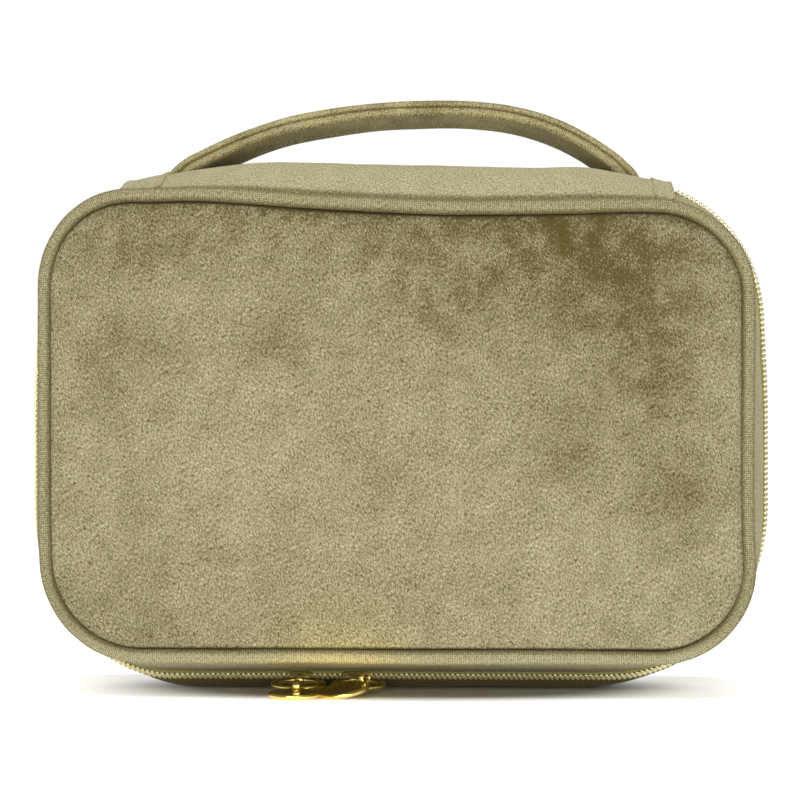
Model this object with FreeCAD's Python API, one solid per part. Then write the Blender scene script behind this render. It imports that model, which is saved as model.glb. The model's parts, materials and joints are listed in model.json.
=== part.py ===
import FreeCAD, Part
import math
import os
from FreeCAD import Vector

# Velvet zip-around makeup bag, standing upright on its long lower side.
# Millimetres. The front faces -Y, +Z is up, and the origin is the centre of the
# bounding box's bottom face. A deep base shell (the back half) and a shallower lid
# shell (the front half) are sewn together by the spine along the top and closed by
# a zip down both sides and along the bottom.

# ---------------------------------------------------------------- driving dimensions
bag_depth = 88.0            # front panel face to back panel face
zip_y = -8.0                # where the lid meets the base
half_gap = 0.3              # half the slit between lid and base at the spine fold

velvet = 1.0                # pile fabric with its backing
foam = 1.8                  # wall padding
lining = 0.6
panel_velvet = 1.2
front_board_thick = 1.0     # stiff boards behind the big panels; the base carries the load
back_board_thick = 2.0

piping_radius = 2.2
piping_y = bag_depth / 2 - 3.1
wall_end_y = bag_depth / 2 - 5.4
sole_trim = 0.3             # the base's underside is trimmed flat by this much, at z = 0

front_half_width = 106.4    # piping centre line of the front panel
front_bottom = 12.4
front_top = 150.3
front_top_corner = 27.0
front_bottom_corner = 28.5
back_half_width = 107.0     # piping centre line of the back panel
back_bottom = 4.8
back_top = 150.6
back_bottom_corner = 31.0
panel_gap = 0.2             # between a panel's edge and its piping
stack_fit = 0.1             # between a board and the wall's end

spine_half_length = 86.0    # the fabric spine that joins lid and base along the top
spine_dome = 5.0            # rise of the spine between its ends
spine_bottom = 140.0        # everything of the walls above this, between the ends

zip_half_width = 113.9      # coil centre line
zip_bottom = 4.4
zip_top = 158.0
zip_top_corner = 42.0
zip_bottom_corner = 50.0
coil_thick = 2.2            # the coil stands 1.1 to each side of its centre line
coil_width = 2.5            # one half of the coil, measured across the zip
coil_gap = 0.5              # from the zip's middle to each half
tape_thick = 0.8
tape_edge = 4.5             # from the zip's middle to where the velvet starts
tape_inset = 0.4            # the tape's face lies this far inside the coil's centre line

tab_overlap = 0.2           # folded tabs over the zip's ends
tab_length = 5.0
tab_depth = 9.0
tab_thick = 1.2
tab_low = 150.0
tab_high = 163.0

pocket_half_width = 88.0
pocket_bottom = 26.0
pocket_top = 92.0
pocket_top_corner = 10.0
pocket_bottom_corner = 16.0
pocket_thick = 0.8
pocket_gap = 0.4            # between the pocket and the lining behind it

band_half_length = 82.0
band_low = 84.0
band_high = 104.0
band_thick = 1.0
bar_count = 7
bar_half_width = 0.8
bar_inset = 2.0             # of the outermost bars from the band's ends
bar_rise = 0.1              # the bars reach this much closer to the lining

handle_y = 6.0
handle_width = 22.0
handle_thick = 4.5
handle_crown = 183.0        # middle of the strap at its highest point
handle_arc_radius = 135.0
handle_arch_half = 50.0     # half the length of the full-width arch, measured in X
handle_foot_x = 67.5        # how far each narrow tongue may reach
handle_roll = -6.0          # tilts the strap's front edge up, degrees
tongue_width = 8.0
handle_axis_z = 163.2
tongue_rise = 2.6           # the tongues end this far above the tilt axis
core_thick = 1.6
core_width = 17.0
joint_room = 2.0            # cut around the arch so that the tongues start outside it
root_inner = 4.0            # stitched feet, measured from the tongues' ends
root_outer = 6.0
root_front = 7.0
root_back = 4.0
root_bottom = 155.0
root_clear = 0.1

slider_xs = {"left": -30.8, "right": -14.1}
slider_length = 8.6
slider_half_width = 3.9
plate_thick = 0.9
plate_low_z = 1.9
plate_high_z = 6.2
post_length = 2.5
post_half_width = 0.25
bridge_radius = 1.9
bridge_bore = 1.1
bridge_half_length = 1.4
arm_overlap = 1.0
arm_drop = 0.4
ring_hinge_y = -13.6        # ring wire inside the slider's bridge
ring_hinge_z = 3.3
ring_wire = 0.8             # wire radius
ring_radius = 6.6           # wire centre line
disc_radius = 8.2
disc_thick = 1.5
eye_outer = 1.9             # the disc's eye around the ring wire
eye_inner = 1.25
eye_length = 3.0
eye_reach = 0.9             # from the disc's edge to the middle of its eye

beyond_x = 150.0            # cutting blocks reach past the bag
beyond_y = 60.0
below_z = -10.0
above_z = 220.0


# ---------------------------------------------------------------- shape helpers
def outline(y, half_width, bottom, top, top_corner, bottom_corner, dome=0.0):
    """Closed rounded rectangle in the plane y, its top edge arched up by dome."""
    diagonal = math.sqrt(0.5)

    def point(x, z):
        return Vector(x, y, z)

    def corner(cx, cz, radius, sx, sz):
        """Arc from the flat edge (upper or lower) round to the side."""
        flat = point(cx, cz + sz * radius)
        middle = point(cx + sx * radius * diagonal, cz + sz * radius * diagonal)
        side = point(cx + sx * radius, cz)
        return flat, middle, side

    low_r = corner(half_width - bottom_corner, bottom + bottom_corner, bottom_corner, 1, -1)
    top_r = corner(half_width - top_corner, top - top_corner, top_corner, 1, 1)
    low_l = corner(bottom_corner - half_width, bottom + bottom_corner, bottom_corner, -1, -1)
    top_l = corner(top_corner - half_width, top - top_corner, top_corner, -1, 1)
    if dome:
        top_edge = Part.Arc(top_r[0], point(0, top + dome), top_l[0])
    else:
        top_edge = Part.LineSegment(top_r[0], top_l[0])
    edges = [
        Part.LineSegment(low_l[0], low_r[0]),
        Part.Arc(*low_r),
        Part.LineSegment(low_r[2], top_r[2]),
        Part.Arc(top_r[2], top_r[1], top_r[0]),
        top_edge,
        Part.Arc(*top_l),
        Part.LineSegment(top_l[2], low_l[2]),
        Part.Arc(low_l[2], low_l[1], low_l[0]),
    ]
    return Part.Wire([edge.toShape() for edge in edges])


def inset(section, depth):
    """The same section, drawn in by depth all round."""
    y, half_width, bottom, top, top_corner, bottom_corner, dome = section
    return (y, half_width - depth, bottom + depth, top - depth,
            top_corner - depth, bottom_corner - depth, dome)


def loft(sections):
    return Part.makeLoft([outline(*section) for section in sections], True, True)


def ring(sections, outer_inset, thick):
    """Wall that follows the sections, between two insets, open at both ends."""
    outside = loft([inset(section, outer_inset) for section in sections])
    inside = loft([inset(section, outer_inset + thick) for section in sections])
    return outside.cut(inside)


def slab(y_low, y_high, half_width, bottom, top, top_corner, bottom_corner, dome=0.0):
    face = Part.Face(outline(y_low, half_width, bottom, top, top_corner, bottom_corner, dome))
    return face.extrude(Vector(0, y_high - y_low, 0))


def block(x_low, x_high, y_low, y_high, z_low, z_high):
    size = (x_high - x_low, y_high - y_low, z_high - z_low)
    return Part.makeBox(*size, Vector(x_low, y_low, z_low))


def rod(radius, length, start, direction):
    return Part.makeCylinder(radius, length, start, direction)


def tube_round(path_outline, radius):
    """Round cord swept along a closed outline."""
    start = path_outline.Edges[0]
    middle = start.valueAt((start.FirstParameter + start.LastParameter) / 2)
    first_half = Part.LineSegment(middle, start.Vertexes[1].Point).toShape()
    last_half = Part.LineSegment(start.Vertexes[0].Point, middle).toShape()
    path = Part.Wire([first_half] + path_outline.Edges[1:] + [last_half])
    profile = Part.Wire([Part.makeCircle(radius, middle, Vector(1, 0, 0))])
    return path.makePipeShell([profile], True, True)


# ---------------------------------------------------------------- wall sections
lid_sections = [
    (-wall_end_y, 107.4, 11.5, 151.2, 28.0, 29.5, 0.5),
    (-26.0, 111.4, 8.4, 155.4, 34.0, 39.0, 3.0),
    (zip_y - tape_edge, 113.5, 5.9, 158.6, 42.0, 49.0, spine_dome),
    (zip_y - half_gap, 113.7, 5.6, 159.4, 42.0, 49.0, spine_dome),
]
base_sections = [
    (zip_y + half_gap, 113.7, 2.6, 159.4, 42.0, 49.0, spine_dome),
    (zip_y + tape_edge, 113.7, 1.4, 160.0, 42.0, 49.0, spine_dome),
    (-2.4, 113.6, -sole_trim, 160.2, 42.0, 49.0, spine_dome),
    (16.0, 112.6, -sole_trim, 158.6, 39.0, 44.0, spine_dome),
    (31.0, 110.6, -sole_trim, 154.2, 32.0, 38.0, 2.5),
    (wall_end_y, 108.4, 3.4, 151.4, 28.0, 32.0, 0.5),
]
spine_zone = block(-spine_half_length, spine_half_length, -beyond_y, beyond_y,
                   spine_bottom, above_z)
lid_slit = block(-beyond_x, beyond_x, zip_y - tape_edge, zip_y, below_z, above_z)
base_slit = block(-beyond_x, beyond_x, zip_y, zip_y + tape_edge, below_z, above_z)
under_floor = block(-beyond_x, beyond_x, -beyond_y, beyond_y, below_z, 0)


# ---------------------------------------------------------------- shells of lid and base
def shell_nodes(prefix, spine_name, sections, slit):
    """Velvet gusset, spine half and foam of one shell; the gusset's sole is cut flat."""
    skin = ring(sections, 0.0, velvet).cut(under_floor)
    padding = ring(sections, velvet, foam)
    return {
        prefix + "_gusset": skin.cut(slit).cut(spine_zone),
        spine_name: skin.common(spine_zone),
        prefix + "_gusset_foam": padding.cut(slit.cut(spine_zone)),
    }


def lining_node(sections, slit, end_section, y_near, y_far):
    """Thin cloth inside the walls, closed by a sheet of its own against the board."""
    walls = ring(sections, velvet + foam, lining).cut(slit.cut(spine_zone))
    sheet = slab(y_near, y_far, *inset(end_section, velvet + foam)[1:])
    return walls.fuse(sheet)


def panel_stack(side, half_width, bottom, top, bottom_corner, board_thick):
    """Velvet, foam and board of a big panel; side is -1 for the front, 1 for the back."""
    shrink = piping_radius + panel_gap
    stack_depth = bag_depth / 2 - wall_end_y - stack_fit
    shape = (half_width - shrink, bottom + shrink, top - shrink,
             front_top_corner - shrink, bottom_corner - shrink)
    face = side * bag_depth / 2
    depths = [panel_velvet, stack_depth - panel_velvet - board_thick, board_thick]
    layers = []
    for depth in depths:
        inner = face - side * depth
        layers.append(slab(min(face, inner), max(face, inner), *shape))
        face = inner
    return layers


def zip_nodes(prefix, side):
    """Tape and half coil on one side of the zip, cut away where the spine is."""
    near = zip_y + side * coil_gap
    far = near + side * coil_width
    edge = zip_y + side * tape_edge
    centre = (zip_half_width, zip_bottom, zip_top, zip_top_corner, zip_bottom_corner)

    def band(y_a, y_b, outer_inset, thick):
        low, high = min(y_a, y_b), max(y_a, y_b)
        section = (low,) + centre + (0.0,)
        outer = inset(section, outer_inset)
        inner = inset(section, outer_inset + thick)
        return slab(low, high, *outer[1:]).cut(slab(low, high, *inner[1:]))

    coil = band(near, far, -coil_thick / 2, coil_thick)
    tape = band(far, edge, tape_inset, tape_thick)
    return {
        prefix + "_zip_coil": coil.cut(spine_zone),
        prefix + "_zip_tape": tape.cut(spine_zone),
    }


# ---------------------------------------------------------------- interior fittings
def slip_pocket():
    """Open-topped flat pocket sewn to the lid lining."""
    y_low = -wall_end_y + lining + pocket_gap
    return slab(y_low, y_low + pocket_thick, pocket_half_width, pocket_bottom, pocket_top,
                pocket_top_corner, pocket_bottom_corner)


def brush_band():
    """Elastic band lying flat against the back lining, sewn down along short bars."""
    band_far = wall_end_y - lining - bar_rise
    band_near = band_far - band_thick
    band = block(-band_half_length, band_half_length, band_near, band_far, band_low, band_high)
    bars = []
    for index in range(bar_count):
        x = (index / (bar_count - 1) - 0.5) * 2 * (band_half_length - bar_inset)
        bars.append(block(x - bar_half_width, x + bar_half_width,
                          band_far, band_far + bar_rise, band_low, band_high))
    return band.multiFuse(bars)


# ---------------------------------------------------------------- handle
def arch(width, thick, half_span):
    """Part of a drum wall: the strap's full-width arch."""
    centre_z = handle_crown - handle_arc_radius
    start = Vector(0, handle_y - width / 2, centre_z)
    outer = rod(handle_arc_radius + thick / 2, width, start, Vector(0, 1, 0))
    inner = rod(handle_arc_radius - thick / 2, width, start, Vector(0, 1, 0))
    sector = block(-half_span, half_span, -beyond_y, beyond_y, handle_axis_z, above_z)
    shape = outer.cut(inner).common(sector)
    shape.rotate(Vector(0, handle_y, handle_crown), Vector(1, 0, 0), handle_roll)
    return shape


def handle_nodes():
    cover = arch(handle_width, handle_thick, handle_arch_half)
    core = arch(core_width, core_thick, handle_arch_half)
    tongues = arch(tongue_width, handle_thick, handle_foot_x)
    middle = arch(handle_width + joint_room, handle_thick + joint_room, handle_arch_half)
    swing_room = block(-beyond_x, beyond_x, -beyond_y, beyond_y, 0, handle_axis_z + tongue_rise)
    cover = cover.cut(core).fuse(tongues.cut(middle).cut(swing_room))
    return {"handle_cover": cover, "handle_webbing": core}


def handle_root(side):
    """Stitched foot of the strap, sewn down into the spine."""
    x_low, x_high = sorted((side * (handle_foot_x - root_inner), side * (handle_foot_x + root_outer)))
    foot = block(x_low, x_high, handle_y - root_front, handle_y + root_back,
                 root_bottom, handle_axis_z - root_clear)
    solid_spine = loft(base_sections)
    return foot.cut(solid_spine)


# ---------------------------------------------------------------- zip hardware
def slider(x):
    """Two plates joined by the post between the coil halves, with a bridge in front."""
    half = slider_length / 2
    lower = block(x - half, x + half, zip_y - slider_half_width, zip_y + slider_half_width,
                  plate_low_z, plate_low_z + plate_thick)
    upper = block(x - half, x + half, zip_y - slider_half_width, zip_y + slider_half_width,
                  plate_high_z, plate_high_z + plate_thick)
    post = block(x + half - post_length, x + half, zip_y - post_half_width,
                 zip_y + post_half_width, plate_low_z, plate_high_z)
    barrel_start = Vector(x - bridge_half_length, ring_hinge_y, ring_hinge_z)
    barrel = rod(bridge_radius, 2 * bridge_half_length, barrel_start, Vector(1, 0, 0))
    bore = rod(bridge_bore, 2 * bridge_half_length, barrel_start, Vector(1, 0, 0))
    arm = block(x - bridge_half_length, x + bridge_half_length,
                ring_hinge_y, zip_y - slider_half_width + arm_overlap,
                plate_low_z - arm_drop, plate_low_z + plate_thick)
    return lower.multiFuse([upper, post, barrel, arm]).cut(bore)


ring_drop = ring_hinge_z - eye_outer
ring_slope = math.asin(ring_drop / (2 * ring_radius))
ring_front_y = ring_hinge_y - 2 * ring_radius * math.cos(ring_slope)
disc_centre_y = ring_front_y - disc_radius - eye_reach


def pull_ring(x):
    middle = Vector(x, (ring_hinge_y + ring_front_y) / 2, (ring_hinge_z + eye_outer) / 2)
    normal = Vector(0, -math.sin(ring_slope), math.cos(ring_slope))
    return Part.makeTorus(ring_radius, ring_wire, middle, normal)


def pull_disc(x):
    """Round plain disc lying flat, with an eye around the ring's front wire."""
    disc = rod(disc_radius, disc_thick, Vector(x, disc_centre_y, 0), Vector(0, 0, 1))
    eye_start = Vector(x - eye_length / 2, ring_front_y, eye_outer)
    eye = rod(eye_outer, eye_length, eye_start, Vector(1, 0, 0))
    bore = rod(eye_inner, eye_length, eye_start, Vector(1, 0, 0))
    return disc.fuse(eye).cut(bore)


def zip_end_tab(side):
    """Folded velvet tab over the end of the zip, at the end of the spine."""
    x_low, x_high = sorted((side * (spine_half_length - tab_overlap),
                            side * (spine_half_length + tab_length)))
    tab = block(x_low, x_high, zip_y + half_gap, zip_y + tab_depth, tab_low, tab_high)
    outside = loft([inset(section, -tab_thick) for section in base_sections])
    inside = loft(base_sections)
    return tab.common(outside).cut(inside)


# ---------------------------------------------------------------- build every node
front_layers = panel_stack(-1, front_half_width, front_bottom, front_top,
                           front_bottom_corner, front_board_thick)
back_layers = panel_stack(1, back_half_width, back_bottom, back_top,
                          back_bottom_corner, back_board_thick)
front_piping_path = outline(-piping_y, front_half_width, front_bottom, front_top,
                            front_top_corner, front_bottom_corner)
back_piping_path = outline(piping_y, back_half_width, back_bottom, back_top,
                           front_top_corner, back_bottom_corner)

nodes = {
    "front_panel": front_layers[0],
    "front_foam": front_layers[1],
    "front_board": front_layers[2],
    "front_piping": tube_round(front_piping_path, piping_radius),
    "back_panel": back_layers[0],
    "back_foam": back_layers[1],
    "back_board": back_layers[2],
    "back_piping": tube_round(back_piping_path, piping_radius),
    "lid_lining": lining_node(lid_sections, lid_slit, lid_sections[0],
                              -wall_end_y, -wall_end_y + lining),
    "base_lining": lining_node(base_sections, base_slit, base_sections[-1],
                               wall_end_y - lining, wall_end_y),
    "slip_pocket": slip_pocket(),
    "brush_band": brush_band(),
}
nodes.update(shell_nodes("lid", "spine_front", lid_sections, lid_slit))
nodes.update(shell_nodes("base", "spine_rear", base_sections, base_slit))
nodes.update(zip_nodes("lid", -1))
nodes.update(zip_nodes("base", 1))
nodes.update(handle_nodes())
for name, x in slider_xs.items():
    nodes["slider_" + name] = slider(x)
    nodes["pull_ring_" + name] = pull_ring(x)
    nodes["pull_disc_" + name] = pull_disc(x)
for name, side in (("left", -1), ("right", 1)):
    nodes["handle_root_" + name] = handle_root(side)
    nodes["zip_end_tab_" + name] = zip_end_tab(side)

os.makedirs("parts", exist_ok=True)
for name, shape in nodes.items():
    shape.exportStep("parts/" + name + ".step")
    box = shape.BoundBox
    print(f"{name:20s} solids {len(shape.Solids)} valid {shape.isValid()} "
          f"volume {shape.Volume:9.1f} "
          f"x {box.XMin:7.1f} {box.XMax:7.1f} y {box.YMin:6.1f} {box.YMax:6.1f} "
          f"z {box.ZMin:6.1f} {box.ZMax:6.1f}")
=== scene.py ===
import json
import math

import bmesh
import bpy
import numpy as np
from mathutils import Matrix, Vector, noise


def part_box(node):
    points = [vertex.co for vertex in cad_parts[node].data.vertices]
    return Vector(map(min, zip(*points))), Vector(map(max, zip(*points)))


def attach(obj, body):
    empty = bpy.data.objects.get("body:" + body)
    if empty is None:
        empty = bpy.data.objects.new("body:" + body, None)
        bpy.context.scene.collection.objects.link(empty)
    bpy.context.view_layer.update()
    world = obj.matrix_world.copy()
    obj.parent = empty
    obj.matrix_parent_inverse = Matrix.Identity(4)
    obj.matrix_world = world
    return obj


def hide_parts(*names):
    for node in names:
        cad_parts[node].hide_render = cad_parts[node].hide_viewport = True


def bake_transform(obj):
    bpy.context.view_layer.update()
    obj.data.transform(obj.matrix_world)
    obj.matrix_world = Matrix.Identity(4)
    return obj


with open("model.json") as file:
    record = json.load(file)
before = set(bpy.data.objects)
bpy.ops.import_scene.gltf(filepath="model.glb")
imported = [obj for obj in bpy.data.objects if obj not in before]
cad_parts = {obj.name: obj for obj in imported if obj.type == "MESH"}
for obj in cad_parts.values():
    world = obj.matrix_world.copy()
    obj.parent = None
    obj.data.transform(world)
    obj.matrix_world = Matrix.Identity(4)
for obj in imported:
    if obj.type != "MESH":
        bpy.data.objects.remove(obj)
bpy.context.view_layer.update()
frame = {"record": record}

# Velvet zip-around makeup bag. The script works in millimetres and writes metres.
# The front faces -Y, +Z is up. Lid in front of the zip, base behind it.
MM = 0.001


# ======== sizes from the frame
def box_mm(node):
    """Lowest and highest corner of a CAD node's box, in mm."""
    low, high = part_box(node)
    return np.array(low) / MM, np.array(high) / MM


piping_low, piping_high = box_mm("front_piping")
lid_coil_low, lid_coil_high = box_mm("lid_zip_coil")
base_coil_low = box_mm("base_zip_coil")[0]
handle_low, handle_high = box_mm("handle_cover")
front_panel_low = box_mm("front_panel")[0]
back_panel_high = box_mm("back_panel")[1]

PIPING_R = (piping_high[1] - piping_low[1]) / 2
PIPING_Y = (piping_high[1] + piping_low[1]) / 2
COIL_HALF_THICK = 1.1
ZIP_Y = (lid_coil_high[1] + base_coil_low[1]) / 2
ZIP_HALF_WIDTH = lid_coil_high[0] - COIL_HALF_THICK
ZIP_BOTTOM = lid_coil_low[2] + COIL_HALF_THICK
ZIP_TOP = 158.0
ZIP_TOP_CORNER = 42.0
ZIP_LOW_CORNER = 49.0
UNEVEN = 4.0                # how far the zip's lower corners are from round
UPPER_Z = 120.0             # the zip and gussets run on under the spine above this height
SIDES_END_Z = 100.0         # the body's top surface is all above this height
WALL_FRONT_Y = box_mm("lid_gusset")[0][1]
WALL_BACK_Y = box_mm("base_gusset")[1][1]
SPINE_HALF = 84.6
TOOTH_PITCH = 1.6
RIB_PITCH = 0.56
VELVET_THICK = 1.0


def smoothstep(low, high, value):
    """0 below low, 1 above high, easing in between."""
    t = np.clip((value - low) / (high - low), 0.0, 1.0)
    return t * t * (3 - 2 * t)


def curve_through(knots, values, where):
    """Smooth curve through the knots: cubic pieces with slopes from the neighbours."""
    knots = np.array(knots, float)
    values = np.array(values, float)
    slopes = np.gradient(values, knots)
    where = np.clip(where, knots[0], knots[-1])
    index = np.clip(np.searchsorted(knots, where) - 1, 0, len(knots) - 2)
    width = knots[index + 1] - knots[index]
    t = (where - knots[index]) / width
    h00 = 2 * t**3 - 3 * t**2 + 1
    h10 = t**3 - 2 * t**2 + t
    h01 = -2 * t**3 + 3 * t**2
    h11 = t**3 - t**2
    return (h00 * values[index] + h10 * width * slopes[index]
            + h01 * values[index + 1] + h11 * width * slopes[index + 1])


# ======== the bag's body as a surface
# Sections across the depth, front to back. Between them the surface is smooth.
SECTION_Y = [WALL_FRONT_Y, -26.0, -12.5, ZIP_Y, -3.5, -2.0, 16.0, 31.0, WALL_BACK_Y]
HALF_WIDTH = [107.4, 111.2, 113.2, 113.5, 113.7, 113.6, 112.6, 110.6, 108.4]
BOTTOM = [11.5, 8.4, 5.9, 3.6, 1.4, 0.6, 0.0, 0.2, 3.6]
TOP = [151.2, 155.2, 157.4, 158.0, 158.8, 159.0, 158.4, 154.2, 151.4]
TOP_CORNER = [28.0, 34.0, 42.0, 42.0, 42.0, 42.0, 39.0, 32.0, 28.0]
LOW_CORNER = [29.5, 39.0, 47.0, 49.0, 54.0, 55.0, 49.0, 40.0, 32.0]

# Height of the spine's crown along the bag, a little higher at the left.
CROWN_X = [-88, -79, -70, -60, -48, -23, 0, 40, 59, 68, 75, 83, 88]
CROWN_Z = [157.2, 159.4, 161.1, 162.6, 164.1, 164.2, 163.6, 162.7, 162.6, 161.0, 159.5, 157.9, 156.6]

# The front panel is not quite true: its top edge stands higher at the left than at the right.
SKEW_X = [-100.0, -78.0, -60.0, -20.0, 15.0, 45.0, 68.0, 100.0]
SKEW_Z = [3.2, 2.7, 2.9, 0.1, -1.4, -1.3, -0.7, -1.5]


def skew(x, z, y):
    """Height that the front's top edge is off by, fading down the panel and towards the zip."""
    amount = curve_through(SKEW_X, SKEW_Z, x)
    return amount * smoothstep(95.0, 150.0, z) * (1 - smoothstep(PIPING_Y + 4, ZIP_Y - 4, y))


def sway(z, y):
    """The lower edge of the front sits a little to the right."""
    return 1.2 * (1 - smoothstep(15.0, 62.0, z)) * (1 - smoothstep(PIPING_Y + 4, ZIP_Y - 4, y))


def outline(half_width, bottom, top, top_corner, low_corner, fine=1, uneven=0.0):
    """Points and outward normals (x, z) round a rounded rectangle, from the middle of its lower
    edge, to the right, up, over the top and back. uneven stretches the lower corners upwards, the
    left one the most."""
    corner, side, half_floor, roof = 22 * fine, 34 * fine, 24 * fine, 56 * fine
    points = []
    normals = []

    def line(x0, z0, x1, z1, nx, nz, count):
        for i in range(count):
            f = i / count
            points.append((x0 + (x1 - x0) * f, z0 + (z1 - z0) * f))
            normals.append((nx, nz))

    def arc(cx, cz, wide, tall, start):
        for i in range(corner):
            angle = start + math.pi / 2 * i / corner
            points.append((cx + wide * math.cos(angle), cz + tall * math.sin(angle)))
            slope = math.hypot(math.cos(angle) / wide, math.sin(angle) / tall)
            normals.append((math.cos(angle) / wide / slope, math.sin(angle) / tall / slope))

    left_x, left_z = half_width - low_corner + 1.5 * uneven, bottom + low_corner + 1.5 * uneven
    right_x, right_z = half_width - low_corner, bottom + low_corner + uneven
    top_x, top_z = half_width - top_corner, top - top_corner
    line(0, bottom, right_x, bottom, 0, -1, half_floor)
    arc(right_x, right_z, low_corner, right_z - bottom, -math.pi / 2)
    line(half_width, right_z, half_width, top_z, 1, 0, side)
    arc(top_x, top_z, top_corner, top_corner, 0)
    line(top_x, top, -top_x, top, 0, 1, roof)
    arc(-top_x, top_z, top_corner, top_corner, math.pi / 2)
    line(-half_width, top_z, -half_width, left_z, -1, 0, side)
    arc(-left_x, left_z, half_width - left_x, left_z - bottom, math.pi)
    line(-left_x, bottom, 0, bottom, 0, -1, half_floor)
    return np.array(points), np.array(normals)


def upright(points, y):
    """(x, z) points as points at depth y."""
    return np.column_stack([points[:, 0], np.full(len(points), y), points[:, 1]])


def section_at(y, inset):
    """Half width, bottom, top and corner radii of the body at depth y, drawn in by inset."""
    drawn_in = (HALF_WIDTH, TOP, TOP_CORNER, LOW_CORNER)
    half_width, top, top_corner, low_corner = [
        curve_through(SECTION_Y, values, y) - inset for values in drawn_in
    ]
    bottom = max(curve_through(SECTION_Y, BOTTOM, y), 0.0) + inset
    return half_width, bottom, top, top_corner, low_corner


def body_ring(y, inset=0.0):
    """Ring of points round the body at depth y."""
    uneven = UNEVEN * (1 - smoothstep(8, 26, abs(y - ZIP_Y)))
    points, _ = outline(*section_at(y, inset), uneven=uneven)
    ring = upright(points, y)
    ring[:, 2] += skew(ring[:, 0], ring[:, 2], y)
    ring[:, 0] *= taper(ring[:, 2], y)
    ring[:, 0] += sway(ring[:, 2], y)
    return ring


def taper(z, y):
    """The sides lean in a little towards the top, most of all along the zip."""
    return 1 - 0.012 * smoothstep(85, 125, z) * (1 - smoothstep(20, 32, abs(y - ZIP_Y)))


def body_top(x, y):
    """Height of the gussets' top, or of the zip, under (x, y)."""
    ring = body_ring(y)
    upper = ring[ring[:, 2] > SIDES_END_Z]
    order = np.argsort(upper[:, 0])
    zip_rise = 1.2 * (1 - smoothstep(1.8, 2.6, abs(y - ZIP_Y)))
    return np.interp(x, upper[order, 0], upper[order, 2]) + zip_rise


SPINE_FRONT_Z = 150.4       # the spine's edges behind the pipings
SPINE_BACK_Z = 150.6
LEVEL_HALF = 78.0           # both edges fall away beyond this, by this slope
EDGE_SLOPE = 0.2
FALL_BACK_Y = 12.0          # where the crown starts to fall towards the back


def spine_height(x, y):
    """Height of the spine over (x, y): from the front piping up to the crown and down behind."""
    crown = curve_through(CROWN_X, CROWN_Z, x)
    fall = EDGE_SLOPE * np.clip(np.abs(x) - LEVEL_HALF, 0, None)
    front_edge = SPINE_FRONT_Z + skew(x, 150.0, y) - fall
    back_edge = SPINE_BACK_Z - fall
    ahead = np.clip((ZIP_Y - y) / (ZIP_Y - WALL_FRONT_Y), 0, 1) ** 2.1
    behind = np.clip((y - FALL_BACK_Y) / (WALL_BACK_Y - FALL_BACK_Y), 0, 1) ** 2.3
    return crown + (front_edge - crown) * ahead + (back_edge - crown) * behind


# ======== mesh helpers
def grid_faces(rows, columns, wrap, offset=0, flip=False, around=False):
    """Quads of a grid of rows x columns points; wrap joins the last row to the first, and around
    joins the last column to the first."""
    faces = []
    for i in range(rows if wrap else rows - 1):
        a = offset + i * columns
        b = offset + ((i + 1) % rows) * columns
        for j in range(columns if around else columns - 1):
            k = (j + 1) % columns
            quad = (a + j, b + j, b + k, a + k)
            faces.append(quad[::-1] if flip else quad)
    return faces


def capped(rows, columns, flip=False):
    """Faces of a row of rings, closed with one face at each end."""
    faces = grid_faces(rows, columns, False, flip=flip, around=True)
    first = tuple(range(columns))
    last = tuple((rows - 1) * columns + j for j in first)
    faces += [first[::-1], last] if flip else [first, last[::-1]]
    return faces


def unit(vectors):
    """The same directions at length 1."""
    return vectors / np.maximum(np.linalg.norm(vectors, axis=-1, keepdims=True), 1e-9)


def turned(a, b, angle):
    """Two vectors at right angles, turned in their plane by an angle, one of each per point."""
    c, s = np.cos(angle)[:, None], np.sin(angle)[:, None]
    return a * c + b * s, b * c - a * s


def laid_out(run, across):
    """Places on the flat cloth, from distances along its rows and across them."""
    cloth = np.zeros((len(run), len(across), 3))
    cloth[..., 0] = np.asarray(run)[:, None]
    cloth[..., 1] = np.asarray(across)[None, :]
    return cloth


def laid_flat(grid, first, second):
    """Places on the flat cloth, taken from two of the grid's axes."""
    return np.stack([grid[..., first], grid[..., second], np.zeros(grid.shape[:2])], axis=2)


def put(name, data):
    """A new object in the scene."""
    made = bpy.data.objects.new(name, data)
    bpy.context.scene.collection.objects.link(made)
    return made


def make_piece(name, points, faces, material, cloth=None):
    """A mesh from points in mm. Each vertex also keeps its rest place and its place on the cloth,
    both in mm, which the materials use."""
    points = np.asarray(points, float)
    mesh = bpy.data.meshes.new(name)
    mesh.from_pydata([tuple(p) for p in points * MM], [], faces)
    rest = mesh.attributes.new("rest", "FLOAT_VECTOR", "POINT")
    rest.data.foreach_set("vector", points.astype(np.float32).ravel())
    flat = points if cloth is None else np.asarray(cloth, float)
    laid = mesh.attributes.new("cloth", "FLOAT_VECTOR", "POINT")
    laid.data.foreach_set("vector", flat.astype(np.float32).ravel())
    mesh.materials.append(material)
    mesh.polygons.foreach_set("use_smooth", [True] * len(mesh.polygons))
    mesh.validate()
    face_out(mesh)
    return put(name, mesh)


def face_out(mesh):
    """Turns every face of a closed mesh outwards."""
    edited = bmesh.new()
    edited.from_mesh(mesh)
    bmesh.ops.recalc_face_normals(edited, faces=edited.faces)
    edited.to_mesh(mesh)
    edited.free()
    mesh.update()


def grid_normals(grid):
    """Unit normals of a grid of points, one per point."""
    return unit(np.cross(np.gradient(grid, axis=0), np.gradient(grid, axis=1)))


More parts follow.
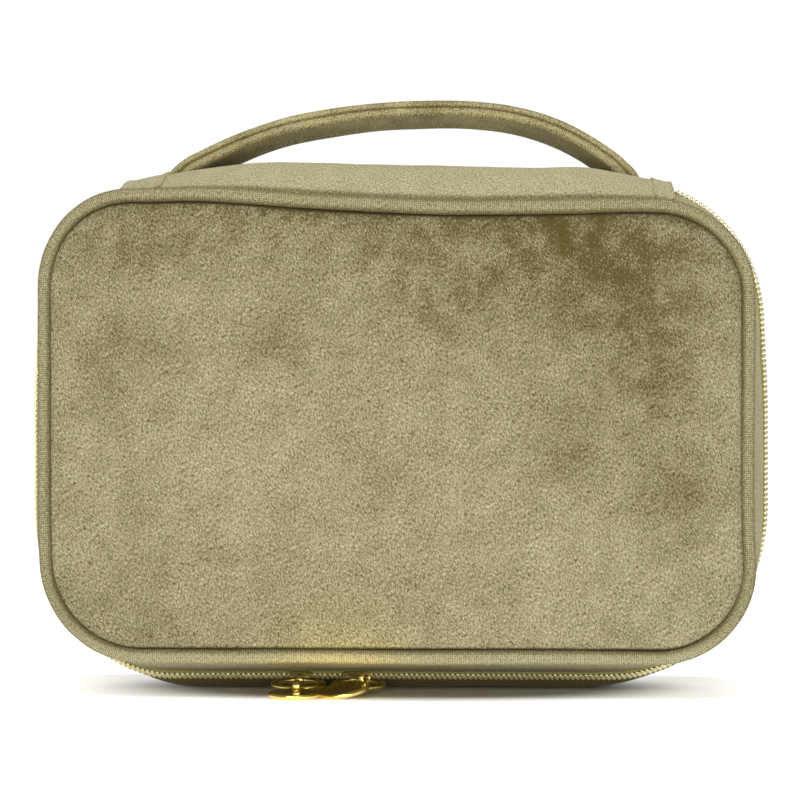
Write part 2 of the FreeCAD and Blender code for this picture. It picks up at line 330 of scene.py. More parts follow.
def thick_sheet(name, grid, cloth, thick, material, outward):
    """A closed sheet of cloth with rounded edges: the grid is its outer face, and the inner face
    lies thick behind it. outward is 1 if the grid's normals point out of the cloth's face."""
    rows, columns = grid.shape[:2]
    normal = grid_normals(grid) * outward
    inner = grid - normal * thick
    middle = grid - normal * thick / 2
    edge_push = thick * 0.45

    def rim(index, neighbour):
        return middle[:, index] + unit(grid[:, index] - grid[:, neighbour]) * edge_push

    first, last = rim(0, 1), rim(columns - 1, columns - 2)
    loop = np.concatenate([first[:, None], grid, last[:, None], inner[:, ::-1]], axis=1)
    loop_cloth = np.concatenate([cloth[:, :1], cloth, cloth[:, -1:], cloth[:, ::-1]], axis=1)
    faces = capped(rows, loop.shape[1], outward < 0)
    return make_piece(name, loop.reshape(-1, 3), faces, material, loop_cloth.reshape(-1, 3))


def two_faced(name, front, back, cloth, flip, material):
    """A closed piece between a front and a back grid of rings, joined along their first column."""
    rows, columns = front.shape[:2]
    count = rows * columns
    faces = grid_faces(rows, columns, True, 0, flip) + grid_faces(rows, columns, True, count, not flip)
    for i in range(rows):
        a, b = i * columns, ((i + 1) % rows) * columns
        quad = (b, a, a + count, b + count)
        faces.append(quad[::-1] if flip else quad)
    points = np.concatenate([front.reshape(-1, 3), back.reshape(-1, 3)])
    return make_piece(name, points, faces, material, np.concatenate([cloth.reshape(-1, 3)] * 2))


def run_along(path):
    """Distance from a path's first point to each of its points."""
    return np.concatenate([[0], np.cumsum(np.linalg.norm(np.diff(path, axis=0), axis=1))])


def tube(name, path, side_a, side_b, profile, material, closed=True):
    """Sweeps a closed profile of (a, b) offsets along a path, using side vectors at each point."""
    rows, columns = len(path), len(profile)
    points = np.zeros((rows, columns, 3))
    for j, (a, b) in enumerate(profile):
        points[:, j] = path + side_a * np.asarray(a)[..., None] + side_b * np.asarray(b)[..., None]
    cloth = laid_out(run_along(path), run_along(points[0]))
    faces = grid_faces(rows, columns, True, around=True) if closed else capped(rows, columns)
    return make_piece(name, points.reshape(-1, 3), faces, material, cloth.reshape(-1, 3))


def join_parts(name, parts, material):
    """One piece from many (points, faces) parts."""
    points, faces, offset = [], [], 0
    for part_points, part_faces in parts:
        points.append(part_points)
        faces.extend(tuple(i + offset for i in face) for face in part_faces)
        offset += len(part_points)
    return make_piece(name, np.concatenate(points), faces, material)


def wobble(points, size, height, seed):
    """Smooth random heights, one per point, from noise that repeats about every size mm."""
    shift = Vector((seed * 17.3, seed * 5.1, seed * 9.7))
    flat = points.reshape(-1, 3)
    heights = [noise.noise(Vector(p) / size + shift) * height for p in flat]
    return np.array(heights).reshape(points.shape[:-1])


# ======== materials
class Shader:
    """Small helper that builds the nodes of one procedural material, or of the world."""

    def __init__(self, owner, surface="Principled BSDF"):
        owner.use_nodes = True
        self.tree = owner.node_tree
        self.surface = self.tree.nodes[surface]

    def add(self, kind, **settings):
        node = self.tree.nodes.new(kind)
        for key, value in settings.items():
            setattr(node, key, value)
        return node

    def link(self, source, target):
        self.tree.links.new(source, target)

    def place(self, attribute, scale=(1, 1, 1), rotation=(0, 0, 0)):
        """Coordinates kept on the mesh, in mm, scaled and turned."""
        source = self.add("ShaderNodeAttribute", attribute_name=attribute)
        mapping = self.add("ShaderNodeMapping", vector_type="TEXTURE")
        mapping.inputs["Scale"].default_value = tuple(1 / k for k in scale)
        mapping.inputs["Rotation"].default_value = rotation
        self.link(source.outputs["Vector"], mapping.inputs["Vector"])
        return mapping.outputs["Vector"]

    def noise(self, where, scale, detail, rough):
        node = self.add("ShaderNodeTexNoise")
        self.link(where, node.inputs["Vector"])
        node.inputs["Scale"].default_value = scale
        node.inputs["Detail"].default_value = detail
        node.inputs["Roughness"].default_value = rough
        return node.outputs["Fac"]

    def math(self, operation, a, b=None, c=None, clamp=False):
        node = self.add("ShaderNodeMath", operation=operation, use_clamp=clamp)
        for slot, value in enumerate((a, b, c)):
            if value is None:
                continue
            if isinstance(value, (int, float)):
                node.inputs[slot].default_value = value
            else:
                self.link(value, node.inputs[slot])
        return node.outputs["Value"]

    def total(self, *terms):
        """Sum of two or more values."""
        value = terms[0]
        for term in terms[1:]:
            value = self.math("ADD", value, term)
        return value

    def swing(self, value, amount):
        """A value round 0.5, scaled by amount and brought round 0."""
        return self.math("MULTIPLY_ADD", value, amount, -amount / 2)

    def spread(self, value, low, high, to_low, to_high):
        """Maps a value from one range to another, easing at both ends."""
        node = self.add("ShaderNodeMapRange", interpolation_type="SMOOTHSTEP")
        self.link(value, node.inputs["Value"])
        for key, number in (("From Min", low), ("From Max", high),
                            ("To Min", to_low), ("To Max", to_high)):
            node.inputs[key].default_value = number
        return node.outputs["Result"]

    def ramp(self, value, stops):
        node = self.add("ShaderNodeValToRGB")
        self.link(value, node.inputs["Fac"])
        elements = node.color_ramp.elements
        while len(elements) < len(stops):
            elements.new(0.5)
        for element, (position, colour) in zip(elements, stops):
            element.position = position
            element.color = (*colour, 1)
        return node.outputs["Color"]

    def rows(self, direction, pitch):
        """Slightly uneven rows across the cloth, pitch mm apart."""
        wave = self.add("ShaderNodeTexWave", wave_type="BANDS", bands_direction=direction)
        self.link(self.place("cloth"), wave.inputs["Vector"])
        wave.inputs["Scale"].default_value = math.pi / 10 / pitch
        wave.inputs["Distortion"].default_value = 2.2
        wave.inputs["Detail Scale"].default_value = 1.4
        return wave.outputs["Fac"]

    def from_seam(self):
        """Distance from the nearest seam, in mm."""
        return self.add("ShaderNodeAttribute", attribute_name="seam").outputs["Fac"]

    def rest(self, axis):
        """Place along an axis at rest, in mm."""
        split = self.add("ShaderNodeSeparateXYZ")
        self.link(self.place("rest"), split.inputs["Vector"])
        return split.outputs[axis]

    def bump(self, height, strength, distance_mm):
        node = self.add("ShaderNodeBump")
        node.inputs["Strength"].default_value = strength
        node.inputs["Distance"].default_value = distance_mm * MM
        self.link(height, node.inputs["Height"])
        self.link(node.outputs["Normal"], self.surface.inputs["Normal"])

    def set(self, **sockets):
        for key, value in sockets.items():
            self.surface.inputs[key.replace("_", " ")].default_value = value


PANEL_DARK = (0.125, 0.102, 0.036)      # the pile's darkest colour, but for the front


def velvet(name, light, shade, dark=PANEL_DARK, lean=0.5, patches=1.0, ribs=0.0, grain=1.0):
    """Short pile velvet: a fine grain of leaning tufts, dark spots where the pile has parted, small
    clouds and large brushed patches. ribs adds the rows that show where the pile is bent over a cord
    or an edge, and shade adds tones by place: painted shade and light, and on the front the brushed
    nap as well."""
    material = bpy.data.materials.new(name)
    s = Shader(material)
    one_way = s.noise(s.place("cloth", (1.2, 0.55, 1), (0, 0, lean)), 1.9, 2, 0.65)
    other_way = s.noise(s.place("cloth", (1.2, 0.55, 1), (0, 0, -0.8 * lean)), 2.4, 2, 0.65)
    tufts = s.math("MULTIPLY_ADD", one_way, 0.65, s.math("MULTIPLY", other_way, 0.35))
    specks = s.noise(s.place("cloth"), 4.6, 1, 0.5)
    parted = s.noise(s.place("cloth", (1.3, 0.8, 1), (0, 0, lean)), 0.85, 2, 0.6)
    clouds = s.noise(s.place("rest", (1, 0.5, 1)), 0.16, 4, 0.6)
    brushed = s.noise(s.place("rest", (1, 0.4, 1.15)), 0.035, 4, 0.55)
    terms = [
        s.swing(tufts, 3.0 * grain),
        s.swing(specks, 1.2 * grain),
        s.swing(clouds, 0.46 * patches),
        s.swing(brushed, 0.36 * patches),
        s.spread(parted, 0.56, 0.74, 0.0, -0.42 * grain),
    ]
    height = s.total(tufts, specks)
    if ribs:
        across = s.rows("X", RIB_PITCH)
        along = s.rows("Y", RIB_PITCH * 1.15)
        terms += [s.swing(across, ribs), s.swing(along, ribs * 0.5)]
        height = s.total(height, across, s.math("MULTIPLY", along, 0.5))
    value = s.math("ADD", s.total(*terms, shade(s)), 0.5, clamp=True)
    middle = tuple(0.6 * d + 0.4 * l for d, l in zip(dark, light))
    s.link(s.ramp(value, [(0.0, dark), (0.5, middle), (1.0, light)]), s.surface.inputs["Base Color"])
    s.set(Roughness=0.9, Specular_IOR_Level=0.05, Sheen_Weight=0.16, Sheen_Roughness=0.4,
          Sheen_Tint=(0.95, 0.89, 0.62, 1))
    s.bump(height, 0.5, 0.3)
    return material


# Places where the front's pile has been stroked another way and looks darker, or lighter where the
# depth is negative: x, z, width, height (mm) and depth of tone.
BRUSH_MARKS = [
    (50, 150, 62, 28, 0.40),
    (66, 122, 30, 20, 0.18),
    (-66, 138, 16, 8, 0.12),
    (-34, 108, 9, 10, 0.20),
    (52, 146, 14, 6, 0.14),
    (76, 98, 15, 20, 0.26),
    (86, 62, 10, 12, 0.22),
    (54, 78, 8, 14, 0.14),
    (-88, 106, 10, 9, 0.18),
    (-96, 22, 46, 16, 0.08),
    (-45, 151, 56, 14, 0.28),
    (-96, 150, 20, 18, 0.08),
    (8, 122, 14, 12, 0.14),
    (62, 32, 60, 30, -0.07),
]


def panel_shade(s):
    """The brushed nap of the front panel, and the shadow where its pile sinks into the seam."""
    drift = s.noise(s.place("rest", (1, 0.3, 1)), 0.05, 4, 0.6)
    x = s.total(s.rest("X"), s.swing(drift, 26))
    z = s.total(s.rest("Z"), s.swing(drift, 22))
    marks = []
    for centre_x, centre_z, width, height, depth in BRUSH_MARKS:
        off_x = s.math("MULTIPLY", s.math("ADD", x, -centre_x), 1 / width)
        off_z = s.math("MULTIPLY", s.math("ADD", z, -centre_z), 1 / height)
        square = s.math("MULTIPLY_ADD", off_x, off_x, s.math("MULTIPLY", off_z, off_z))
        marks.append(s.math("MULTIPLY", s.math("EXPONENT", s.math("MULTIPLY", square, -1.0)), -depth))
    crushed = s.spread(s.noise(s.place("rest", (1, 0.5, 1)), 0.13, 3, 0.6), 0.36, 0.64, 0.5, 1.15)
    seam = s.spread(s.from_seam(), 0.1, 1.1, -0.66, -0.06)
    return s.math("MULTIPLY_ADD", s.total(*marks), crushed, seam)


def shade_by(*terms):
    """Painted shade and light: tones added where two surfaces meet, or by height. Each term tells what
    it goes by, and from which distance to which, in mm, it eases from one tone to another."""
    def shade(s):
        tones = []
        for goes_by, *ease in terms:
            distance = s.from_seam() if goes_by == "seam" else s.rest("Z")
            tones.append(s.spread(distance, *ease))
        return s.total(*tones)
    return shade


def woven(name, dark, light, pitch):
    """Plain woven tape or lining, its threads pitch mm apart."""
    material = bpy.data.materials.new(name)
    s = Shader(material)
    where = s.place("cloth")
    scale = math.pi / 10 / pitch
    warp = s.add("ShaderNodeTexWave", wave_type="BANDS", bands_direction="X")
    weft = s.add("ShaderNodeTexWave", wave_type="BANDS", bands_direction="Y")
    for wave in (warp, weft):
        s.link(where, wave.inputs["Vector"])
        wave.inputs["Scale"].default_value = scale
    weave = s.math("MULTIPLY", warp.outputs["Fac"], weft.outputs["Fac"])
    fibre = s.noise(where, 0.9, 3, 0.6)
    value = s.math("MULTIPLY_ADD", fibre, 0.5, s.math("MULTIPLY", weave, 0.6), clamp=True)
    s.link(s.ramp(value, [(0.0, dark), (1.0, light)]), s.surface.inputs["Base Color"])
    s.set(Roughness=0.8, Specular_IOR_Level=0.3, Sheen_Weight=0.15)
    s.bump(weave, 0.5, 0.15)
    return material


def gold(name, colour, rough, metal=1.0):
    """Polished plated metal with faint handling marks."""
    material = bpy.data.materials.new(name)
    s = Shader(material)
    marks = s.noise(s.place("rest"), 0.8, 4, 0.65)
    s.link(s.spread(marks, 0.3, 0.7, rough, rough + 0.08), s.surface.inputs["Roughness"])
    tone = s.noise(s.place("rest"), 0.25, 2, 0.5)
    darker = tuple(0.86 * c for c in colour)
    s.link(s.ramp(tone, [(0.3, darker), (0.7, colour)]), s.surface.inputs["Base Color"])
    s.set(Metallic=metal)
    s.bump(marks, 0.04, 0.05)
    return material


FRONT_DARK = (0.088, 0.067, 0.017)
PANEL_LIGHT = (0.625, 0.567, 0.362)
# The spine's velvet is painted lighter than the panel's: painted light on the bag's top, which faces
# the lamps.
SPINE_LIGHT = (0.755, 0.71, 0.445)
STRAP_LIGHT = (0.56, 0.49, 0.255)
PIPING_LIGHT = (0.475, 0.43, 0.255)
CORD_FAR_SIDE = 2 * PIPING_R    # from the seam
# Painted shade: most are darker in the seam or groove. The piping is also painted lighter low down and
# on its crest and darker on its far side, and the strap lighter along its folded edges: painted light
# and shade for how the lamps fall on them. The gussets are painted darker low down: painted shade
# under the bag.
GROOVE_PAINTED_SHADE = ("seam", 0.0, 1.4, -0.22, 0.0)
painted_seam_shade = shade_by(("seam", 0.1, 1.1, -0.6, 0.0))
# Piping: painted shade by the seam and on its far side, painted light low down and a painted highlight
# on its crest.
painted_cord_light_and_shade = shade_by(("seam", 0.1, 1.9, -0.46, 0.06), ("height", 8, 26, 0.28, 0.0),
                   ("seam", CORD_FAR_SIDE - 1.1, CORD_FAR_SIDE - 0.1, 0.0, -0.34))
# Strap: painted shade in its edge grooves, painted light along its folded edges.
painted_strap_light_and_shade = shade_by(("seam", 0.1, 1.1, -0.5, 0.0), ("seam", 2.3, 2.9, 0.2, 0.0))
# Spine: painted shade in the groove behind each piping.
painted_spine_groove_shade = shade_by(("seam", 0.0, 2.0, -0.40, 0.0))
# Gussets: painted shade in the groove and low down, where they face the floor.
painted_gusset_shade = shade_by(GROOVE_PAINTED_SHADE, ("height", 2, 14, -0.5, 0))
# Base gusset: painted almost black low down, painted shade where the bag stands on the floor, and
# painted shade in the groove.
painted_sole_shade = shade_by(GROOVE_PAINTED_SHADE, ("height", 3.0, 8.5, -1.2, 0))
velvet_panel = velvet("velvet_panel", PANEL_LIGHT, panel_shade, FRONT_DARK, patches=0.85, grain=0.92)
velvet_back = velvet("velvet_back", PANEL_LIGHT, painted_seam_shade, grain=1.12)
velvet_spine = velvet("velvet_spine", SPINE_LIGHT, painted_spine_groove_shade, lean=-0.3, patches=0.35, grain=0.75)
velvet_gusset = velvet("velvet_gusset", PANEL_LIGHT, painted_gusset_shade, patches=0.5, grain=0.8)
velvet_sole_painted_shade = velvet("velvet_sole_painted_shade", PANEL_LIGHT, painted_sole_shade, patches=0.5, grain=0.8)
velvet_piping = velvet("velvet_piping", PIPING_LIGHT, painted_cord_light_and_shade, patches=0.4, ribs=0.5)
velvet_strap = velvet("velvet_strap", STRAP_LIGHT, painted_strap_light_and_shade, patches=1.7, ribs=0.25, grain=1.2)
lining_cloth = woven("lining_cloth", (0.20, 0.18, 0.115), (0.42, 0.385, 0.27), 0.7)
elastic_cloth = woven("elastic_cloth", (0.10, 0.09, 0.06), (0.26, 0.23, 0.16), 1.0)
tape_cloth = woven("tape_cloth", (0.17, 0.16, 0.035), (0.47, 0.44, 0.15), 0.45)
gold_metal = gold("gold_metal", (0.93, 0.76, 0.27), 0.10)
gold_slider = gold("gold_slider", (0.82, 0.70, 0.26), 0.22, metal=0.85)
gold_coil = gold("gold_coil", (1.0, 0.92, 0.55), 0.17, metal=0.6)


# ======== piped panels
def seam_outline(half_width, bottom, top, top_corner, low_corner, y, fine=1):
    """Ring and outward normals (x, z) of a panel's outline, out of true as the front is."""
    points, normals = outline(half_width, bottom, top, top_corner, low_corner, fine)
    ring = upright(points, y)
    ring[:, 2] += skew(ring[:, 0], ring[:, 2], y)
    ring[:, 0] += sway(ring[:, 2], y)
    return ring, normals


def cord_line(node, top_corner, low_corner):
    """A piping's middle line: half width, bottom, top, upper and lower corner radius."""
    low, high = box_mm(node)
    return high[0] - PIPING_R, low[2] + PIPING_R, high[2] - PIPING_R, top_corner, low_corner


FRONT_PIPING = cord_line("front_piping", 27.0, 28.5)
BACK_PIPING = cord_line("back_piping", 27.0, 31.0)
SEAM_IN = (1.3, 2.7, 2.4)       # how far the seam lies inside the cord: sides, bottom, top
SEAM_CORNER_IN = 2.0
FAR_BACK_Y = 99.0               # a depth where the front's unevenness has faded away
PANEL_EDGE_IN = 3.5             # from the panel's face in to its edge, and to its hidden back
PANEL_BACK_IN = 4.0
EDGE_SINK = 1.4                 # its outermost ring lies deeper still, under the cord
# The rise from the edge to the middle: heights, and the distances that they take.
PANEL_RISES = [(2.7, 0.9), (0.5, 9.0), (0.7, 30.0)]


def ridge_under(ring, half_width, bottom, top):
    """For each point of a ring round a face, its place on the face's middle line, in steps that the
    upper and lower halves share."""
    half_length = half_width - (top - bottom) / 2
    step = half_length / 10
    centre = ring.copy()
    centre[:, 0] = np.round(np.clip(ring[:, 0], -half_length, half_length) / step) * step
    centre[:, 2] = (bottom + top) / 2
    return centre


def pillow_panel(name, shape, side, face_y, material, seed):
    """Velvet panel over foam: pulled into the seam all round, almost flat across the board."""
    half_width, bottom, top, top_corner, low_corner = shape
    seam = (half_width - SEAM_IN[0], bottom + SEAM_IN[1], top - SEAM_IN[2],
            top_corner - SEAM_CORNER_IN, low_corner - SEAM_CORNER_IN)
    ring, _ = seam_outline(*seam, PIPING_Y if side < 0 else FAR_BACK_Y)
    ring[:, 1] = 0
    centre = ridge_under(ring, half_width, bottom, top)
    reach = np.linalg.norm(centre - ring, axis=1)
    direction = (centre - ring) / reach[:, None]
    edge_steps = [-1.0, 0.0, 0.35, 0.8, 1.4, 2.2, 3.2, 4.6, 6.5, 9.0, 12.0]
    inner_steps = 22
    columns = len(edge_steps) + inner_steps
    grid = np.zeros((len(ring), columns, 3))
    for j in range(columns):
        if j < len(edge_steps):
            distance = np.full(len(ring), edge_steps[j])
        else:
            share = (j - len(edge_steps) + 1) / inner_steps
            distance = edge_steps[-1] + (reach - edge_steps[-1]) * share
        grid[:, j] = ring + direction * distance[:, None]
        depth_in = np.clip(distance, 0, None)
        rise = sum(height * (1 - np.exp(-depth_in / over)) for height, over in PANEL_RISES)
        sink = EDGE_SINK if j == 0 else 0.0
        grid[:, j, 1] = side * (abs(face_y) - PANEL_EDGE_IN + rise - sink)
    flat = grid.copy()
    flat[..., 1] = 0
    fade = smoothstep(0, 12, np.linalg.norm(grid - grid[:, 1:2], axis=2))
    grid[..., 1] += side * fade * (wobble(flat, 46.0, 0.7, seed) + wobble(flat, 14.0, 0.22, seed + 1))
    back = grid.copy()
    back[..., 1] = side * (abs(face_y) - PANEL_BACK_IN)
    piece = two_faced(name, grid, back, laid_flat(grid, 0, 2), side > 0, material)
    from_seam = np.linalg.norm(grid[..., [0, 2]] - grid[:, 1:2, [0, 2]], axis=2)
    mark_seam(piece, np.concatenate([from_seam.ravel()] * 2))
    weld(piece)
    return piece


def mark_seam(piece, distances):
    """Keeps each vertex's distance from the nearest seam, in mm, for the material."""
    layer = piece.data.attributes.new("seam", "FLOAT", "POINT")
    layer.data.foreach_set("value", np.asarray(distances, np.float32).ravel())


def weld(piece):
    """Joins vertices that lie on the same point."""
    distance_mm = 0.02
    mesh = bmesh.new()
    mesh.from_mesh(piece.data)
    bmesh.ops.remove_doubles(mesh, verts=mesh.verts, dist=distance_mm * MM)
    bmesh.ops.dissolve_degenerate(mesh, edges=mesh.edges, dist=distance_mm * MM / 2)
    mesh.to_mesh(piece.data)
    mesh.free()


def piping(name, shape, y, side, seed):
    """Velvet wrapped cord round a panel, with a flange running down into the seam."""
    ring, normal_2d = seam_outline(*shape, y, 3)
    normals = upright(normal_2d, 0.0)
    facing = np.tile([0.0, side, 0.0], (len(ring), 1))
    radius = PIPING_R + wobble(ring, 16.0, 0.16, seed) + wobble(ring, 3.0, 0.08, seed + 1)
    below = np.clip(-normals[:, 2], 0, 1)
    above = np.clip(normals[:, 2], 0, 1)
    ring = ring + normals * (wobble(ring, 38.0, 0.35, seed + 2) - 0.45 * below - 0.1 * above)[:, None]
    profile = []
    from_seam = []
    for k in range(20):
        angle = 2 * math.pi * k / 20
        stretch = 1.0 + 0.18 * max(0.0, -math.sin(angle)) ** 2
        profile.append((radius * math.cos(angle), radius * stretch * math.sin(angle)))
        from_seam.append(PIPING_R * (1 + math.cos(angle)))
    cord = tube(name, ring, normals, facing, profile, velvet_piping)
    mark_seam(cord, np.tile(from_seam, len(ring)))
    return cord


front_panel = pillow_panel("front_panel_velvet", FRONT_PIPING, -1, front_panel_low[1], velvet_panel, 3)
back_panel = pillow_panel("back_panel_velvet", BACK_PIPING, 1, back_panel_high[1], velvet_back, 8)
front_piping = piping("front_piping_cord", FRONT_PIPING, PIPING_Y, -1, 2)
back_piping = piping("back_piping_cord", BACK_PIPING, -PIPING_Y, 1, 5)


# ======== gussets and spine
GROOVE_IN = 2.6             # from the wall's front or back edge to the groove behind the piping


def mark_wall_seam(piece):
    """Marks how far each vertex is from the groove behind the piping, front or back."""
    depths = np.array([v.co.y for v in piece.data.vertices]) / MM
    from_edge = np.minimum(depths - WALL_FRONT_Y, WALL_BACK_Y - depths)
    mark_seam(piece, np.maximum(from_edge - GROOVE_IN, 0.0))


TUCK = 6.0                  # how far the gussets run on under the spine's ends
ROLLED_EDGE = [1.4, 0.95, 0.4]      # how far in the edge beside the zip is rolled
BELOW_SPINE = 1.5           # how far the gussets stay below the spine's top,
BELOW_SPINE_MORE = 3.0      # and how much further beside the zip


def open_ring(ring, half_length):
    """Which of a ring's points lie outside the spine's half length, in order from the spine's right
    end down, along the bottom and up to its left end."""
    covered = (ring[:, 2] > UPPER_Z) & (np.abs(ring[:, 0]) < half_length)
    keep = np.where(~covered)[0]
    split = np.where(np.diff(keep) > 1)[0][0]
    return np.concatenate([keep[split + 1:], keep[:split + 1]])


def gusset(name, depths, edge_at_start, material, seed):
    """Velvet wall round the bottom and sides, open along the top where the spine lies over it.
    Its edge beside the zip is rolled in."""
    grid = np.stack([body_ring(y) for y in depths], axis=1)
    middle = grid[:, len(depths) // 2]
    keep = open_ring(middle, SPINE_HALF - TUCK)
    grid = grid[keep]
    normal = -grid_normals(grid)
    grid = grid + normal * wobble(grid, 30.0, 0.4, seed)[..., None]
    for k, depth_in in enumerate(ROLLED_EDGE):
        column = k if edge_at_start else len(depths) - 1 - k
        grid[:, column] -= normal[:, column] * depth_in
    cloth = laid_out(run_along(middle[keep]), depths)
    below_spine = np.stack([spine_height(grid[:, j, 0], y) for j, y in enumerate(depths)], axis=1)
    beside_zip = 1 - smoothstep(6, 22, np.abs(np.array(depths) - ZIP_Y))
    below_spine -= BELOW_SPINE + BELOW_SPINE_MORE * beside_zip[None, :]
    tucked = smoothstep(-1.2, 0.6, SPINE_HALF - np.abs(grid[..., 0])) * (grid[..., 2] > UPPER_Z)
    grid[..., 2] -= tucked * np.maximum(grid[..., 2] - below_spine, 0)
    grid[..., 2] = np.maximum(grid[..., 2], 0.0)
    piece = thick_sheet(name, grid, cloth, VELVET_THICK, material, outward=-1)
    mark_wall_seam(piece)
    return piece


def depth_steps(start, stop, count, fine_at_start):
    """Depths from start to stop, closer together beside the zip."""
    steps = []
    for i in range(count + 1):
        f = i / count
        steps.append(start + (stop - start) * (f ** 1.6 if fine_at_start else 1 - (1 - f) ** 1.6))
    return steps


LID_TAPE_SHOWS = 2.3        # tape seen each side of the zip's middle
BASE_TAPE_SHOWS = 3.3
UNDER_PIPING = 1.2          # how far the gussets run on under the pipings
lid_depths = depth_steps(WALL_FRONT_Y - UNDER_PIPING, ZIP_Y - LID_TAPE_SHOWS, 14, False)
base_depths = depth_steps(ZIP_Y + BASE_TAPE_SHOWS, WALL_BACK_Y + UNDER_PIPING, 22, True)
lid_gusset = gusset("lid_gusset_velvet", lid_depths, False, velvet_gusset, 11)
base_gusset = gusset("base_gusset_velvet", base_depths, True, velvet_sole_painted_shade, 14)


def spine_grid(half_length, lift, count_x=120):
    """Grid over the top of the bag, from the front piping to the back piping."""
    xs = np.linspace(-half_length, half_length, count_x)
    ys = np.linspace(WALL_FRONT_Y - 0.8, WALL_BACK_Y + 0.8, 60)
    grid = np.zeros((len(xs), len(ys), 3))
    for j, y in enumerate(ys):
        grid[:, j, 0] = xs
        grid[:, j, 1] = y
        grid[:, j, 2] = spine_height(xs, y) + lift
    grid[..., 2] += wobble(grid, 34.0, 0.5, 21) + wobble(grid, 12.0, 0.2, 22)
    return grid


def spine(name, material, half_length, lift, thick):
    """One layer of the spine, lift mm above the body's top surface."""
    grid = spine_grid(half_length, lift)
    piece = thick_sheet(name, grid, laid_flat(grid, 0, 1), thick, material, outward=1)
    mark_wall_seam(piece)
    return piece


spine_velvet = spine("spine_velvet", velvet_spine, SPINE_HALF, 0.5, 1.4)
spine_lining = spine("spine_lining", lining_cloth, SPINE_HALF - 1, -2.6, 0.5)


BAND_WIDTH = {"left": 12.5, "right": 5.6}


def end_band(name, side):
    """Folded seam allowance across the end of the spine, over the end of the zip."""
    width = BAND_WIDTH[name]
    grid = spine_grid(SPINE_HALF, 0.0, 200)
    near = np.abs(grid[:, 0, 0] * side - (SPINE_HALF - width / 2)) < width / 2 + 0.45
    strip = grid[near]
    across = (strip[:, 0, 0] * side - (SPINE_HALF - width)) / width
    bead = np.exp(-(across / 0.09) ** 2) + np.exp(-((across - 0.95) / 0.09) ** 2)
    hump = 0.9 + 0.5 * bead
    strip[..., 2] += hump[:, None]
    if side < 0:
        strip = strip[::-1]
    skirt = np.repeat(strip[-1:], 3, axis=0)
    for k, (out, share) in enumerate(((0.35, 0.2), (0.5, 0.6), (0.5, 1.0))):
        skirt[k, :, 0] += side * out
        for j in range(strip.shape[1]):
            foot = body_top(skirt[k, j, 0], skirt[k, j, 1]) - 0.7
            skirt[k, j, 2] += (min(foot, strip[-1, j, 2]) - strip[-1, j, 2]) * share
    strip = np.concatenate([strip, skirt], axis=0)
    cloth = laid_flat(strip, 1, 0)
    piece = thick_sheet("spine_end_" + name, strip, cloth, 0.9, velvet_spine, outward=side)
    mark_wall_seam(piece)
    return piece


end_bands = {name: end_band(name, side) for name, side in (("left", -1), ("right", 1))}


# ======== zip
def zip_frame():
    """Points along the zip, from the spine's right end down, along the bottom and up to its left
    end, with the outward normal and the direction across the zip towards the base."""
    points, normals = outline(ZIP_HALF_WIDTH, ZIP_BOTTOM, ZIP_TOP, ZIP_TOP_CORNER, ZIP_LOW_CORNER, 4,
                              UNEVEN)
    ring = upright(points, ZIP_Y)
    ring[:, 0] *= taper(ring[:, 2], ZIP_Y)
    outward = upright(normals, 0.0)
    keep = open_ring(ring, SPINE_HALF - 1.5)
    path, outward = ring[keep], outward[keep]
    tilt = np.radians(8 + 17 * np.clip(-outward[:, 2], 0, 1))
    across, outward = turned(np.tile([0.0, 1.0, 0.0], (len(path), 1)), outward, tilt)
    return path, outward, across, run_along(path)


zip_path, zip_out, zip_across, zip_run = zip_frame()


def on_zip(distance, rows):
    """Value of the zip's rows at a distance along it."""
    return np.array([np.interp(distance, zip_run, rows[:, k]) for k in range(3)])


def coil_half(name, side):
    """One half of the coil: a row of bent loops whose heads reach past the zip's middle."""
    front = side < 0                # this half's loops lie over the other's
    rail = []
    for share in np.linspace(0, 1, 7):
        v = side * (1.75 - 2.65 * share)
        m = (0.1 if front else -0.25) + 0.8 * math.sin(min(share * 1.1, 1.0) * math.pi * 0.68)
        lean = 1.15 * (0.5 - share) * side
        rail.append((v, m, lean))
    sides = 8
    quads = grid_faces(len(rail), sides, False, around=True)
    faces = [(a, d, c, b) for a, b, c, d in quads] + capped(len(rail), sides, True)[-2:]
    radius = 0.56 if front else 0.46
    parts = []
    count = int((zip_run[-1] - 3) / TOOTH_PITCH)
    for tooth in range(count):
        distance = 1.5 + (tooth + (0.5 if side > 0 else 0.0)) * TOOTH_PITCH
        origin = on_zip(distance, zip_path)
        out = on_zip(distance, zip_out)
        across = on_zip(distance, zip_across)
        along = unit(np.cross(out, across))
        centres = np.array([origin + across * v + out * m + along * lean for v, m, lean in rail])
        points = []
        for k, centre in enumerate(centres):
            ahead = unit(centres[min(k + 1, len(centres) - 1)] - centres[max(k - 1, 0)])
            up = np.cross(ahead, along)
            size = radius * (0.72 if k == len(centres) - 1 else 1.0)
            for q in range(sides):
                angle = 2 * math.pi * q / sides
                points.append(centre + along * size * math.cos(angle) + up * size * math.sin(angle))
        parts.append((np.array(points), faces))
    return join_parts(name, parts, gold_coil)


def zip_tape(name, side):
    """Woven tape that carries one half of the coil."""
    reach = [0.8, 1.3, 1.65, 2.0, 2.4, 3.2, 4.6, 6.2]
    hidden_dips = [-0.9, -1.8, -3.0, -4.0] if side > 0 else [-0.6, -0.9, -1.2, -1.6]
    dips = [-0.9, -0.15, 0.15, 0.05, *hidden_dips]
    offsets = np.array(reach) * side
    grid = np.zeros((len(zip_path), len(reach), 3))
    for j, (v, dip) in enumerate(zip(offsets, dips)):
        grid[:, j] = zip_path + zip_across * v + zip_out * dip
    return thick_sheet(name, grid, laid_out(zip_run, offsets), 0.5, tape_cloth, outward=-side)


lid_coil = coil_half("lid_coil_teeth", -1)
base_coil = coil_half("base_coil_teeth", 1)
lid_tape = zip_tape("lid_tape_strip", -1)
base_tape = zip_tape("base_tape_strip", 1)


# ======== linings and fittings
LINING_THICK = 0.4
LINING_IN = 3.4             # from the velvet's face to the lining


